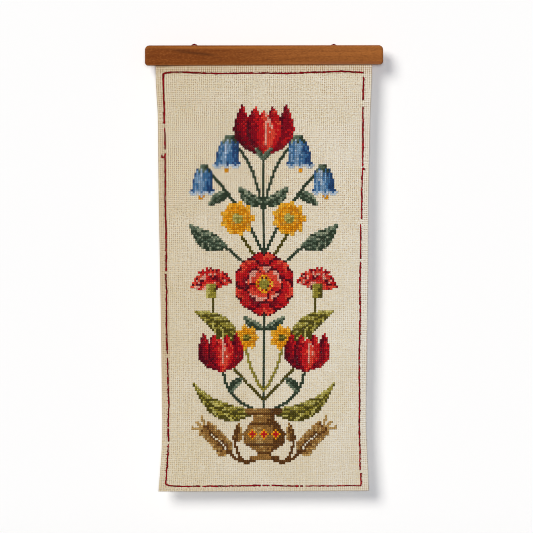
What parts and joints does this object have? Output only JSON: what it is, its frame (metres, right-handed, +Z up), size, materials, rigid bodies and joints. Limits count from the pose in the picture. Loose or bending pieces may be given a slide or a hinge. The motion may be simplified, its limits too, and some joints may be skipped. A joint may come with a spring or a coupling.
{
  "type": "cross-stitch wall scroll with wooden hanging bar",
  "caption": "Tall hemmed evenweave cloth panel with a stitched border line and flower sprays, hanging from a flat wooden bar with yarn loops at its back.",
  "frame": {"origin": "centre of the bar's back face, which lies flat on the wall", "axes": "+Z up, +Y into the wall, +X to the right of someone facing the cloth"},
  "size_m": [0.2668, 0.012, 0.5015],
  "materials": {
    "bar_wood": "oiled reddish brown hardwood, fine straight grain, satin",
    "ground_cloth": "ivory evenweave cotton with a visible grid of holes, matte",
    "border_yarn": "dark red twisted yarn, matte"
  },
  "bodies": {
    "root": {"hanger_bar": "bar_wood", "cloth_panel": "ground_cloth", "hanging_loop_left": "border_yarn", "hanging_loop_right": "border_yarn"}
  },
  "joints": []
}
